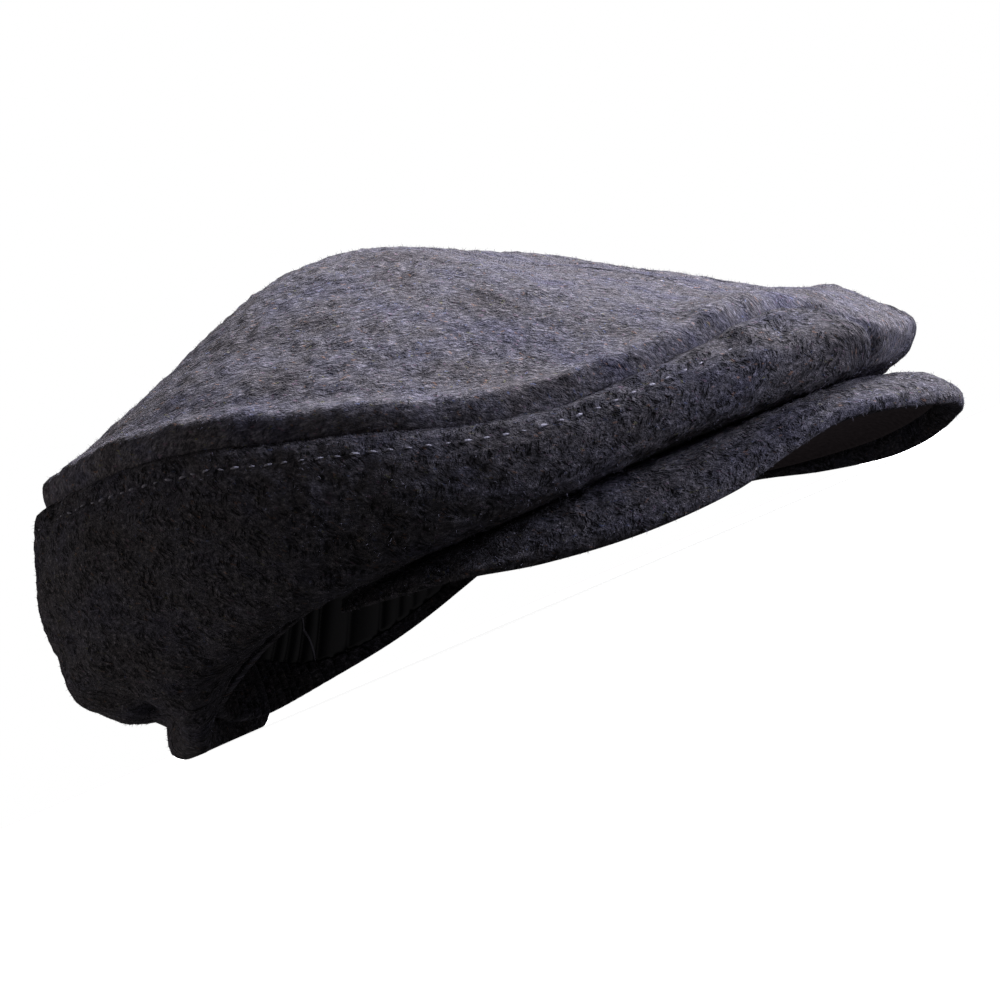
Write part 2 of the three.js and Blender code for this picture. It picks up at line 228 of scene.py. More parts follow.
def smooth_curve(points, t):
    """Points of centripetal curves, one curve for each row. t counts the points along it."""
    first, last = 2 * points[:, :1] - points[:, 1:2], 2 * points[:, -1:] - points[:, -2:-1]
    chain = np.concatenate([first, points, last], axis=1)
    i = np.minimum(np.floor(t).astype(int), points.shape[1] - 2)
    w = (t - i)[..., None]
    rows = np.arange(len(points))[:, None]
    p0, p1, p2, p3 = (chain[rows, i + k] for k in range(4))
    gaps = (p1 - p0, p2 - p1, p3 - p2)
    d0, d1, d2 = (np.sqrt(np.linalg.norm(gap, axis=-1, keepdims=True)) for gap in gaps)
    start = ((p1 - p0) / d0 - (p2 - p0) / (d0 + d1) + (p2 - p1) / d1) * d1
    end = ((p2 - p1) / d1 - (p3 - p1) / (d1 + d2) + (p3 - p2) / d2) * d1
    return p1 + start * w + (3 * (p2 - p1) - 2 * start - end) * w**2 + (2 * (p1 - p2) + start + end) * w**3


def bare_crown(angle, t):
    return settle(smooth_curve(crown_points(angle), np.clip(t, 0, TOP_RING)))


def seam_at(angle):
    """Where the top panel begins: on the seam, but down at the rim between the two tips in front."""
    rise = np.clip((from_front(angle) - TIP["angle"]) / TIP["spread"], 0, 1)
    return SEAM_RING * np.sqrt(rise * (2 - rise))


def normals_of(surface, angle, place, most, da=0.5, share=0.004):
    across = surface(angle + da, place) - surface(angle - da, place)
    step = share * most
    along = surface(angle, np.minimum(place + step, most)) - surface(angle, np.maximum(place - step, 0))
    return unit(np.cross(along, across))


def distance_to(chain, points):
    flat = points.reshape(-1, 3)
    nearest = np.full(len(flat), np.inf)
    for a, b in zip(chain[:-1], chain[1:]):
        edge = b - a
        share = np.clip((flat - a) @ edge / (edge @ edge), 0, 1)
        nearest = np.minimum(nearest, np.linalg.norm(flat - a - share[:, None] * edge, axis=1))
    return nearest.reshape(points.shape[:-1])


# %% [markdown]
# Cloth is never as smooth as its pattern. Two kinds of unevenness go into the mesh itself, where they also
# break the outline: soft dents, small and wide, and the lumps of single thick yarns. Both come from one small
# noise, which blends random heights on a lattice and has a fixed seed.

# %% Unevenness of the cloth
SEED = 20
CELLS = 64
FAR = 1000.0  # keeps every place on the positive side of the lattice
LATTICE = np.random.default_rng(SEED).uniform(-1, 1, (CELLS, CELLS, CELLS))


def noise(points, size):
    """Smooth noise from -1 to 1, with lumps of about the given size in millimetres."""
    place = points / size + FAR
    cell = np.floor(place).astype(int)
    w = place - cell
    w = w * w * (3 - 2 * w)
    total = np.zeros(points.shape[:-1])
    for corner in np.ndindex(2, 2, 2):
        at = (cell + corner) % CELLS
        weight = np.prod(np.where(np.array(corner) == 1, w, 1 - w), axis=-1)
        total += weight * LATTICE[at[..., 0], at[..., 1], at[..., 2]]
    return total


DENTS = {"size": 22, "depth": 0.8}
WAVES = {"size": 46, "depth": 1.7, "apart": 31}
LUMPS = {"size": 3.0, "depth": 0.5}


def unevenness(points, share=1.0):
    dents = DENTS["depth"] * noise(points, DENTS["size"])
    dents = dents + WAVES["depth"] * noise(points + WAVES["apart"], WAVES["size"])
    lumps = LUMPS["depth"] * (noise(points, LUMPS["size"]) + 0.5 * noise(points, LUMPS["size"] / 2))
    return share * (dents + lumps) * smoothstep(points[..., 2], 0, FLOOR["calm"])


print("lattice of", LATTICE.size, "heights from seed", SEED)


# %% [markdown]
# The seam lies in a groove, and above it the cloth of the top panel rolls over the turned-in edges as a soft
# ridge. Short tucks run into the seam at the back and at the front, where the long edge was eased onto the
# short one.

# %% The crown's relief
seam_angles = np.linspace(TIP["angle"], 360 - TIP["angle"], 321)
seam_line = bare_crown(seam_angles, seam_at(seam_angles)[:, None])[:, 0]
PLEATS = {"front": 27, "front_spread": 9, "front_share": 0.8, "back": 152, "back_spread": 26}
PLEATS |= {"count": 62, "wander": 2.5, "wander_count": 7, "above": 5, "width": 6, "depth": 1.1}


def relief(angle, t, points):
    seam = distance_to(seam_line, points)
    shallow = 1 - SEAM_FADE["back_loss"] * smoothstep(from_front(angle), *SEAM_FADE["back"])[:, None]
    out = -SEAM["groove"] * shallow * bump(seam, SEAM["groove_width"])
    ridge = SEAM["ridge"] * smoothstep(from_front(angle), *SEAM_FADE["tips"])[:, None] * shallow
    ridge = ridge * (1 + SEAM_FADE["uneven"] * noise(points + SEAM_FADE["apart"], SEAM_FADE["uneven_size"]))
    ridge = ridge * bump(seam - SEAM["ridge_at"], SEAM["ridge_width"])
    out = out + np.where(t > seam_at(angle)[:, None], ridge, 0)
    for fold in FOLDS.values():
        angles, rings = (np.linspace(*fold[key], 25) for key in ("angles", "rings"))
        along = bare_crown(angles, rings[:, None])[:, 0]
        out = out - fold["depth"] * bump(distance_to(along, points), fold["width"])
    front = bump(from_front(angle) - PLEATS["front"], PLEATS["front_spread"])
    back = bump(from_front(angle) - PLEATS["back"], PLEATS["back_spread"])
    wander = PLEATS["wander"] * np.sin(np.radians(angle * PLEATS["wander_count"]))
    waves = np.cos(np.radians(angle * PLEATS["count"]) + wander)
    pleats = PLEATS["depth"] * (PLEATS["front_share"] * front + back) * waves
    out = out + pleats[:, None] * bump(seam - PLEATS["above"], PLEATS["width"])
    return out * smoothstep(points[..., 2], 0, FLOOR["calm"])


def crown(angle, t, depth=0.0, rough=1.0):
    points = bare_crown(angle, t)
    out = normals_of(bare_crown, angle, t, TOP_RING)
    out[t > TOP_RING - A_LITTLE] = unit(np.array([LEAN, 0, 1]))
    lift = relief(angle, t, points) + unevenness(points, rough) - depth
    points = points + out * lift[..., None]
    points[..., 2] = np.maximum(points[..., 2], 0)
    return points


print("seam", round(float(np.linalg.norm(np.diff(seam_line, axis=0), axis=1).sum())), "mm long")

# %% [markdown]
# Every piece of cloth is a closed sheet: an outer face, an inner face one thickness below it, and narrow
# walls between their edges. The outer face also gets a map in millimetres of cloth, so that a weave can
# follow the piece however it is folded.

# %% Sheets of cloth
NAP_FROM = 4  # the nap stops this high above the floor, where the cloth is pressed flat


def signed_volume(points, faces):
    a, b, c, d = (points[faces[:, k]] for k in range(4))
    return np.einsum("ij,ij->", a, np.cross(b, c)) + np.einsum("ij,ij->", a, np.cross(c, d))


def make_mesh(name, points, faces, uv, values):
    """A mesh piece from points in millimetres, with a map and named values for its points."""
    mesh = bpy.data.meshes.new(name)
    mesh.from_pydata((points * MM).tolist(), [], faces.tolist())
    layer = mesh.uv_layers.new(name="cloth_mm")
    layer.data.foreach_set("uv", uv[faces.ravel()].ravel())
    for key, column in values.items():
        mesh.attributes.new(key, "FLOAT", "POINT").data.foreach_set("value", column)
    piece = bpy.data.objects.new(name, mesh)
    bpy.context.scene.collection.objects.link(piece)
    weld(piece)
    mesh.polygons.foreach_set("use_smooth", np.ones(len(mesh.polygons), bool))
    return piece


def weld(piece):
    """Joins points that coincide, such as those at the top of the crown."""
    work = bmesh.new()
    work.from_mesh(piece.data)
    bmesh.ops.remove_doubles(work, verts=work.verts, dist=2e-6)
    bmesh.ops.dissolve_degenerate(work, edges=work.edges, dist=1e-7)
    work.to_mesh(piece.data)
    work.free()


def sheet(name, outer, inner, uv, closed, edge_bulge=0.6):
    """A closed sheet from an outer and an inner grid of points, with softly rounded edges."""
    columns, rows = outer.shape[:2]
    inner_rows = inner.shape[1]

    def edge(a, b, inward):
        middle = (a + b) / 2
        return middle + unit(middle - inward) * edge_bulge

    low = edge(outer[:, 0], inner[:, 0], outer[:, 1])
    high = edge(outer[:, -1], inner[:, -1], outer[:, -2])
    ring = np.concatenate([low[:, None], outer, high[:, None], inner[:, ::-1]], axis=1)
    around = ring.shape[1]
    points = ring.reshape(-1, 3)
    i, j = np.meshgrid(np.arange(columns if closed else columns - 1), np.arange(around), indexing="ij")
    a, a_next = i * around + j, i * around + (j + 1) % around
    b, b_next = ((i + 1) % columns) * around + j, ((i + 1) % columns) * around + (j + 1) % around
    faces = np.stack([a, b, b_next, a_next], axis=-1).reshape(-1, 4)
    if not closed:
        caps = []
        share = np.linspace(0, 1, rows + 2)
        inner_at = around - 1 - np.round(share * (inner_rows - 1)).astype(int)
        outer_at = np.arange(rows + 2)
        for start, flip in ((0, False), ((columns - 1) * around, True)):
            cap = np.stack([outer_at[:-1], outer_at[1:], inner_at[1:], inner_at[:-1]], axis=-1)
            caps.append(start + (cap[:, ::-1] if flip else cap))
        faces = np.concatenate([faces, *caps])
    if signed_volume(points, faces) < 0:
        faces = faces[:, ::-1]
    back = np.linspace(rows - 1, 0, inner_rows).astype(int)
    ring_uv = np.concatenate([uv[:, :1], uv, uv[:, -1:], uv[:, back]], axis=1)
    outside = np.zeros(ring.shape[:2])
    outside[:, 1 : rows + 1] = outer[..., 2] > NAP_FROM
    return make_mesh(name, points, faces, ring_uv.reshape(-1, 2), {"outside": outside.ravel()})


def faces_of(*pieces):
    return [(piece.name, len(piece.data.polygons)) for piece in pieces]


# %% [markdown]
# The crown is cut from two panels of the same tweed: one over the top, and one round the sides and the back.
# Both are sheets on the same sections, so they meet along the seam with a small gap between them. Near the
# tips of the side panel the seam is steep, so the angles lie closer together there.

# %% The two panels of the crown
fine = 1.0
POINTS = {"tip": 34, "round": 420, "between": 16, "top": 92, "side": 84, "top_inner": 16, "side_inner": 18}
POINTS |= {"peak": 300, "board": 48, "underlay": 200, "strip": 620, "satin": 900}
LEAST_RING = 0.25  # nearer the rim than this the side panel's two tips end
GAP_SLANT = 2.2  # the seam slants at the tips, so the gap takes more room along the angle
tip_end = TIP["angle"] + TIP["spread"]
rises = np.linspace(0, 1, round(POINTS["tip"] * fine) + 1)
tip_angles = TIP["angle"] + TIP["spread"] * (1 - np.sqrt(1 - rises**2))
crown_angles = np.concatenate(
    [
        tip_angles,
        np.linspace(tip_end, 360 - tip_end, round(POINTS["round"] * fine))[1:-1],
        360 - tip_angles[::-1],
        360 + np.linspace(-TIP["angle"], TIP["angle"], round(POINTS["between"] * fine))[1:-1],
    ]
)


def lengths_along(points, axis):
    """The distance travelled along one axis of a grid of points."""
    step = np.linalg.norm(np.diff(points, axis=axis), axis=-1)
    start = np.zeros_like(np.take(step, [0], axis=axis))
    return np.concatenate([start, np.cumsum(step, axis=axis)], axis=axis)


def cloth_map(across, along):
    return np.stack(np.broadcast_arrays(across, along), axis=-1)


def top_panel():
    start = seam_at(crown_angles)[:, None]
    outer_rows = np.linspace(0, 1, round(POINTS["top"] * fine))
    inner_rows = np.linspace(0, 1, POINTS["top_inner"])
    outer = crown(crown_angles, start + (TOP_RING - start) * outer_rows)
    inner = crown(crown_angles, start + (TOP_RING - start) * inner_rows, WOOL, 0)
    reach = lengths_along(outer[:, ::-1], 1)[:, ::-1]
    heading = np.radians(crown_angles)[:, None]
    uv = cloth_map(-reach * np.sin(heading), -reach * np.cos(heading))
    return sheet("top_cloth", outer, inner, uv, True)


def side_panel():
    room = np.degrees(GAP_SLANT * GAP / BELLY["front"])
    before = np.minimum(seam_at(crown_angles - room), seam_at(crown_angles + room))
    angles = crown_angles[before > LEAST_RING]
    high = before[before > LEAST_RING][:, None] - A_LITTLE
    outer = crown(angles, high * np.linspace(0, 1, round(POINTS["side"] * fine)))
    inner = crown(angles, high * np.linspace(0, 1, POINTS["side_inner"]), WOOL, 0)
    down = lengths_along(outer[:, ::-1], 1)[:, ::-1]
    across = lengths_along(bare_crown(angles, np.full((len(angles), 1), SEAM_RING)), 0)
    return sheet("side_cloth", outer, inner, cloth_map(across, down), False)


top_cloth = top_panel()
side_cloth = side_panel()
print("faces", faces_of(top_cloth, side_cloth))

# %% [markdown]
# The peak is a stiff board between two layers of tweed. Its free edge is rolled over and thick, and a
# smoother cloth is set in under it.


# %% The peak
def peak_middle(angle, share):
    """The middle surface of the peak: share runs from the rim to the free edge."""
    taper = smoothstep(PEAK["end"] - from_front(angle), -2, PEAK["taper"])[:, None]
    root = on_oval(RIM, angle, rim_height(angle) - PEAK["root"] - BOARD["thick"] / 2, -GAP)
    edge = root + (on_oval(EDGE, angle, 0) - root) * (PEAK["end_width"] + (1 - PEAK["end_width"]) * taper)
    right, left = read(PEAK_EDGE, "right", angle), read(PEAK_EDGE, "left", angle)
    edge[:, 2] = np.where(is_left(angle), left, right) + BOARD["edge_thick"] / 2
    brow = root + (edge - root) * PEAK["brow"]
    brow[:, 2] = np.maximum(root[:, 2] - PEAK["dip"], edge[:, 2])
    rise = (root + edge) / 2
    rise[:, 2] = root[:, 2] - PEAK["dip"]
    s = share[..., None]
    root, rise, brow, edge = (p[:, None] for p in (root, rise, brow, edge))
    return (1 - s) ** 3 * root + 3 * s * (1 - s) ** 2 * rise + 3 * s**2 * (1 - s) * brow + s**3 * edge


def peak_cloth_piece():
    angles = np.linspace(-PEAK["end"], PEAK["end"], round(POINTS["peak"] * fine))
    flat = 1 - BOARD["edge_round"]
    turns = np.sin(np.linspace(0, np.pi / 2, 12))[1:]
    inner_shares = np.linspace(0, flat, round(POINTS["board"] * fine))
    shares = np.concatenate([inner_shares, flat + BOARD["edge_round"] * turns])
    share = np.broadcast_to(shares, (len(angles), len(shares)))
    thin = smoothstep(PEAK["end"] - from_front(angles), 0, PEAK["end"] - UNDERLAY["end"])[:, None]
    thin = PEAK["end_thick"] + (1 - PEAK["end_thick"]) * thin
    grow = smoothstep(share, UNDERLAY["to"], flat)
    full = thin * (BOARD["thick"] + (BOARD["edge_thick"] - BOARD["thick"]) * grow)
    half = full / 2 * np.sqrt(1 - np.clip((share - flat) / BOARD["edge_round"], 0, 1) ** 2)
    middle = peak_middle(angles, share)
    out = normals_of(peak_middle, angles, share, 1)
    upper, lower = (lean(middle + out * (side * half)[..., None]) for side in (-1, 1))
    upper = upper - out * unevenness(upper, 0.8)[..., None]
    band = smoothstep(share, UNDERLAY["to"] + 0.02, flat)
    lower = lower + out * (unevenness(lower, 0.6) * band)[..., None]
    reach = lengths_along(upper, 1)
    across = lengths_along(peak_middle(angles, np.full((len(angles), 1), 0.8)), 0)
    return sheet("peak_cloth", upper, lower, cloth_map(across, reach), False, 0.2)


def peak_under_piece():
    end = UNDERLAY["end"] - 0.5
    angles = np.linspace(-end, end, round(POINTS["underlay"] * fine))
    share = np.broadcast_to(np.linspace(UNDERLAY["from"], UNDERLAY["to"], 30), (len(angles), 30))
    middle = peak_middle(angles, share)
    down = normals_of(peak_middle, angles, share, 1)
    drops = (BOARD["thick"] / 2 + GAP + depth for depth in (0, UNDERLAY["thick"]))
    inner, outer = (lean(middle + down * drop) for drop in drops)
    across = lengths_along(middle[:, 15:16], 0)
    reach = lengths_along(middle, 1)
    return sheet("peak_underside", outer, inner, cloth_map(across, reach), False, 0.3)


peak_cloth = peak_cloth_piece()
peak_under = peak_under_piece()
print("faces", faces_of(peak_cloth, peak_under))

# %% [markdown]
# Inside the opening a band of black satin touches the head. Its foot is bound by a narrow strip of the tweed.
# At the back an elastic draws both together, so the strip stands in ruffles and the satin is wrinkled.

# %% The sweatband and the strip along its foot
WRINKLES = {"back": 1.2, "side": 2.3, "slant": 9, "side_at": 214, "side_spread": 20}
WRINKLE_WAVE = {"count": 33, "wander": 1.6, "wander_count": 11}
RUFFLES = {"depth": 2.6, "spread": 36, "foot": 0.4}
RUFFLE_WAVE = {"count": 58, "wander": 1.2, "wander_count": 13}
JOIN = {"angle": 204, "width": 0.6, "thick": 0.35, "sunk": 0.05}


def gathered(angle):
    return bump(180 - from_front(angle), STRIP["spread"])


def uneven_wave(wave, angle):
    """A wave round the cap whose steps are not all alike."""
    wander = wave["wander"] * np.sin(np.radians(angle * wave["wander_count"]))
    return np.sin(np.radians(angle * wave["count"]) + wander)


def strip_top(angle):
    return rim_height(angle) + STRIP["height"] + (STRIP["back_height"] - STRIP["height"]) * gathered(angle)


def rim_strip_piece():
    angles = np.linspace(STRIP["end"], 360 - STRIP["end"], round(POINTS["strip"] * fine))
    pull = gathered(angles)[:, None]
    drawn = bump(180 - from_front(angles), RUFFLES["spread"])[:, None]
    share = np.linspace(0, 1, 14)[None, :]
    waves = 2 * np.abs(uneven_wave(RUFFLE_WAVE, angles))[:, None] ** 0.6 - 1
    low = rim_height(angles)[:, None] - STRIP_FACE["under"] - STRIP["sag"] * pull
    high = strip_top(angles)[:, None]
    z = low + (high - low) * share

    def face(depth):
        bulge = STRIP_FACE["bulge"] * pull * np.sin(np.pi * share)
        grow = RUFFLES["foot"] + (1 - RUFFLES["foot"]) * share
        inset = STRIP["inset"] + depth + bulge + RUFFLES["depth"] * drawn * (1 + waves * grow)
        return lean(on_oval(RIM, angles[:, None], z, inset))

    outer, inner = face(STRIP["thick"]), face(0)
    outer = outer - unit(outer * (1, 1, 0)) * unevenness(outer, STRIP_FACE["uneven"])[..., None]
    across = lengths_along(outer[:, :1], 0)
    return sheet("rim_cloth", outer, inner, cloth_map(across, z), False, 0.5)


def band_face(angles, depth):
    """The face of the sweatband, in soft folds with sharp creases between them."""
    share = np.linspace(0, 1, 24)[None, :]
    low = (strip_top(angles) + GAP)[:, None]
    high = (rim_height(angles) + BAND["height"])[:, None]
    side = bump(angles - WRINKLES["side_at"], WRINKLES["side_spread"])
    amount = (WRINKLES["back"] * gathered(angles) + WRINKLES["side"] * side)[:, None]
    turns = angles[:, None] - WRINKLES["slant"] * share
    folds = np.abs(uneven_wave(WRINKLE_WAVE, turns)) ** 0.5
    inset = BAND["inset"] + BAND["lean"] * share + depth + amount * folds
    return lean(on_oval(RIM, angles[:, None], low + (high - low) * share, inset))


def band_sheet(name, faces, closed, bulge):
    outer, inner = faces
    across = lengths_along(outer[:, :1], 0)
    return sheet(name, outer, inner, cloth_map(across, outer[..., 2]), closed, bulge)


def sweatband_piece():
    angles = np.linspace(0, 360, round(POINTS["satin"] * fine), endpoint=False)
    faces = [band_face(angles, depth) for depth in (BAND["thick"], 0)]
    return band_sheet("satin_band", faces, True, 0.3)


def band_seam_piece():
    """A line of pale thread up the satin, where its two ends are joined."""
    angles = JOIN["angle"] + np.linspace(-0.5, 0.5, 5) * np.degrees(JOIN["width"] / RIM["back"])
    faces = [band_face(angles, BAND["thick"] + depth) for depth in (JOIN["thick"], JOIN["sunk"])]
    return band_sheet("band_seam", faces, False, 0.1)


rim_cloth = rim_strip_piece()
satin_band = sweatband_piece()
band_seam = band_seam_piece()
print("faces", faces_of(rim_cloth, satin_band, band_seam))

# %% [markdown]
# All of this is drawn about the head opening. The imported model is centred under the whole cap, so every
# piece is moved by the same small amount, until the peak lies where the solid's does.

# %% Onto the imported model
cloth_pieces = [top_cloth, side_cloth, peak_cloth, peak_under, rim_cloth, satin_band, band_seam]


peak_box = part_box("peak")
shift = Vector((0, 0, 0))
for axis in (0, 1):
    places = [v.co[axis] for v in peak_cloth.data.vertices]
    middle = (min(places) + max(places)) / 2
    shift[axis] = (peak_box[0][axis] + peak_box[1][axis]) / 2 - middle
for piece in cloth_pieces:
    piece.data.transform(Matrix.Translation(shift))
print("moved by", [round(v / MM, 2) for v in shift], "mm")

# %% [markdown]
# Materials come next. A node-based material is a chain of small steps, so one helper adds a step with its
# settings and its links. Colours are picked as the hex values that a screen shows, and have to be made
# linear.


# %% Helpers for materials
def colour(hex_value):
    channels = [int(hex_value[i : i + 2], 16) / 255 for i in (1, 3, 5)]
    return [c / 12.92 if c <= 0.04045 else ((c + 0.055) / 1.055) ** 2.4 for c in channels] + [1.0]


def add(tree, kind, inputs=None, **settings):
    """Adds a node. Each input is given by name or number, and is a value or another node's output."""
    node = tree.nodes.new(kind)
    for key, value in settings.items():
        setattr(node, key, value)
    for key, value in (inputs or {}).items():
        socket = node.inputs[key]
        if isinstance(value, bpy.types.NodeSocket):
            tree.links.new(value, socket)
        else:
            socket.default_value = value
    return node


def new_material(name):
    material = bpy.data.materials.new(name)
    material.use_nodes = True
    material.node_tree.nodes.clear()
    return material, material.node_tree


def set_ramp(node, stops):
    """Sets a colour ramp's stops from pairs of place and hex colour."""
    elements = node.color_ramp.elements
    while len(elements) < len(stops):
        elements.new(1.0)
    for element, (place, hex_value) in zip(elements, stops):
        element.position = place
        element.color = colour(hex_value)


# %% [markdown]
# Tweed is woven from thick woollen yarn, and each yarn is spun from fibres of several colours. From a
# distance that heather looks charcoal, and from nearby it is grey, blue and brown with rare bright flecks.
# The same cloth is used all over, but on the side panel, the peak and the rim strip its tone is lowered as
# painted shade. On the top its nap is brushed along the cap in short, paler streaks. On the side panel and
# the peak the weave shows through as slanting ticks with dark gaps: two stretched noises, slanting opposite
# ways, are swapped row by row to draw them.

# %% Heather tweed
HEATHER = [(0.3, "#35343a"), (0.43, "#515057"), (0.52, "#636169"), (0.61, "#78757d"), (0.72, "#99969e")]
CLOUDS = [(0.33, "#bcb0a2"), (0.46, "#f0ece6"), (0.55, "#f2f1f8"), (0.7, "#b0b1d8")]
FLECKS = [(0.0, "#94705c"), (0.42, "#7d7d58"), (0.5, "#67729a"), (0.58, "#7f6678")]
TICKS = {"length": 2.6, "width": 1.1, "right": 52, "left": -64, "row": 4.2}


def tweed(name, tone, turn, length, weave, streak, bump_depth):
    """Tweed of one tone, its nap turned by an angle, with more or less of its weave showing. A lower tone
    paints shade over the whole cloth.
    """
    material, tree = new_material(name)
    cloth = add(tree, "ShaderNodeUVMap", uv_map="cloth_mm").outputs["UV"]

    def pattern(length, width, angle, detail=2.0, rough=0.6):
        """Noise in streaks of the given length and width in millimetres, turned by an angle."""
        given = {"Vector": cloth, "Angle": np.radians(angle)}
        turned = add(tree, "ShaderNodeVectorRotate", given, rotation_type="Z_AXIS")
        scale = (1 / length, 1 / width, 1)
        place = add(tree, "ShaderNodeVectorMath", {0: turned.outputs[0], 1: scale}, operation="MULTIPLY")
        inputs = {"Vector": place.outputs[0], "Scale": 1.0, "Detail": detail, "Roughness": rough}
        return add(tree, "ShaderNodeTexNoise", inputs, noise_dimensions="2D").outputs[0]

    # Brushed streaks of the nap, and the finest fibres in them. A real fibre is about 0.03 mm thick, too fine
    # to show, so these are drawn ten times as coarse.
    streaks = pattern(length, 1.0, turn, 3.0, 0.72)
    fibres = pattern(0.75, 0.32, turn + 12, 2.0, 0.7)
    # Ticks of the weave, which slant one way and then the other.
    right, left = (
        pattern(TICKS["length"], TICKS["width"], TICKS[slant], 2.5, 0.65) for slant in ("right", "left")
    )
    bands = {"Vector": cloth, "Scale": np.pi / (20 * TICKS["row"])}
    bands |= {"Distortion": 7.0, "Detail": 3.0, "Detail Scale": 0.35}
    rows = add(tree, "ShaderNodeTexWave", bands, wave_type="BANDS", bands_direction="Y", wave_profile="SAW")
    swap = add(tree, "ShaderNodeMath", {0: rows.outputs["Fac"], 1: 0.5}, operation="GREATER_THAN")
    ticks = add(tree, "ShaderNodeMix", {"Factor": swap.outputs[0], "A": right, "B": left}, data_type="FLOAT")
    # The gaps are darker in some patches of the cloth than in others.
    patches = {"Value": pattern(6, 5, 20, 2.0), "From Min": 0.4, "From Max": 0.58, "To Min": 1 - weave}
    least = add(tree, "ShaderNodeMapRange", patches, interpolation_type="SMOOTHSTEP").outputs[0]
    dark = {"Value": ticks.outputs[0], "From Min": 0.36, "From Max": 0.54, "To Min": least, "To Max": 1.0}
    gaps = add(tree, "ShaderNodeMapRange", dark, interpolation_type="SMOOTHSTEP").outputs[0]
    pale = {"Value": ticks.outputs[0], "From Min": 0.58, "From Max": 0.72, "To Min": 1.0, "To Max": 1 + weave}
    hairs = add(tree, "ShaderNodeMapRange", pale).outputs[0]
    # Heathered colour: small fibres, then soft clouds of brown and lavender.
    heather = add(tree, "ShaderNodeValToRGB", {0: pattern(2.6, 1.2, turn, 5.0, 0.8)})
    set_ramp(heather, HEATHER)
    clouds = add(tree, "ShaderNodeValToRGB", {0: pattern(30, 18, turn + 20, 5.0, 0.68)})
    set_ramp(clouds, CLOUDS)
    both = {"Factor": 0.6, "A": heather.outputs[0], "B": clouds.outputs[0]}
    tinted = add(tree, "ShaderNodeMix", both, data_type="RGBA", blend_type="MULTIPLY")
    # Rare fibres of orange, green, blue and purple.
    hue = add(tree, "ShaderNodeValToRGB", {0: pattern(7, 7, 0, 0.0)})
    set_ramp(hue, FLECKS)
    hue.color_ramp.interpolation = "CONSTANT"
    spots = {"Value": pattern(2.4, 1.1, turn + 35, 1.0), "From Min": 0.67, "From Max": 0.76, "To Max": 0.55}
    fleck = add(tree, "ShaderNodeMapRange", spots).outputs[0]
    flecked = {"Factor": fleck, "A": tinted.outputs["Result"], "B": hue.outputs[0]}
    coloured = add(tree, "ShaderNodeMix", flecked, data_type="RGBA")
    # Light streaks and dark gaps, all scaled by the tone, which paints shade where it is low.
    low, high = tone * (1 - streak), tone * (1 + streak)
    shade = {"Value": streaks, "From Min": 0.3, "From Max": 0.7, "To Min": low, "To Max": high}
    light = add(tree, "ShaderNodeMapRange", shade)
    lit = add(tree, "ShaderNodeMath", {0: light.outputs[0], 1: gaps}, operation="MULTIPLY")
    value = add(tree, "ShaderNodeMath", {0: lit.outputs[0], 1: hairs}, operation="MULTIPLY")
    shaded = {"Factor": 1.0, "A": coloured.outputs["Result"], "B": value.outputs[0]}
    final = add(tree, "ShaderNodeMix", shaded, data_type="RGBA", blend_type="MULTIPLY")
    # The same patterns raise the fibres.
    yarn = add(tree, "ShaderNodeMath", {0: streaks, 1: 0.8, 2: gaps}, operation="MULTIPLY_ADD")
    fuzz = add(tree, "ShaderNodeMath", {0: fibres, 1: 0.35, 2: yarn.outputs[0]}, operation="MULTIPLY_ADD")
    height = {"Height": fuzz.outputs[0], "Strength": 0.9, "Distance": bump_depth * MM}
    raised = add(tree, "ShaderNodeBump", height)
    look = {"Base Color": final.outputs["Result"], "Roughness": 0.96, "Specular IOR Level": 0.12}
    look |= {"Sheen Weight": 0.1, "Sheen Roughness": 0.6, "Sheen Tint": colour("#9694a2")}
    shader = add(tree, "ShaderNodeBsdfPrincipled", look | {"Normal": raised.outputs[0]})
    add(tree, "ShaderNodeOutputMaterial", {"Surface": shader.outputs[0]})
    return material


# Brushed tweed looks like soft felt with short, fuzzy streaks.
top_tweed = tweed(
    "brushed heather wool tweed", tone=0.95, turn=90, length=2.6, weave=0.36, streak=0.3, bump_depth=1.1
)
# Unbrushed tweed looks coarser, with slanting ticks and dark gaps between its yarns. Its lower tone is
# painted shade: the same cloth as the top, darkened as if less lit.
shaded_side_tweed = tweed(
    "coarse heather wool tweed with painted shade", tone=0.63, turn=0, length=1.6, weave=0.84, streak=0.28, bump_depth=1.8
)
print("materials", [top_tweed.name, shaded_side_tweed.name])

# %% [markdown]
# The satin of the sweatband and the cloth under the peak each have one colour. A picture of cloth could be
# laid over them, but it would repeat. A stretched noise gives them a grain instead. The threads of real satin
# are 0.1 mm apart, too fine to show, so they are drawn 0.35 mm apart.


# %% Satin and the cloth under the peak
def plain_cloth(name, hex_value, roughness, thread, sheen, bump_depth, streaky):
    """Cloth of one colour, with a grain as wide as its thread and longer than wide if streaky is over 1."""
    material, tree = new_material(name)
    cloth = add(tree, "ShaderNodeUVMap", uv_map="cloth_mm").outputs["UV"]
    scale = (1 / thread, 1 / (thread * streaky), 1)
    place = add(tree, "ShaderNodeVectorMath", {0: cloth, 1: scale}, operation="MULTIPLY")
    given = {"Vector": place.outputs[0], "Scale": 1.0, "Detail": 3.0}
    grain = add(tree, "ShaderNodeTexNoise", given, noise_dimensions="2D")
    darker, lighter = ([c * share for c in colour(hex_value)[:3]] + [1] for share in (0.55, 1.45))
    tones = {"Factor": grain.outputs[0], "A": darker, "B": lighter}
    tone = add(tree, "ShaderNodeMix", tones, data_type="RGBA")
    height = {"Height": grain.outputs[0], "Strength": 0.6, "Distance": bump_depth * MM}
    raised = add(tree, "ShaderNodeBump", height)
    look = {"Base Color": tone.outputs["Result"], "Roughness": roughness, "Specular IOR Level": sheen}
    shader = add(tree, "ShaderNodeBsdfPrincipled", look | {"Normal": raised.outputs[0]})
    add(tree, "ShaderNodeOutputMaterial", {"Surface": shader.outputs[0]})
    return material


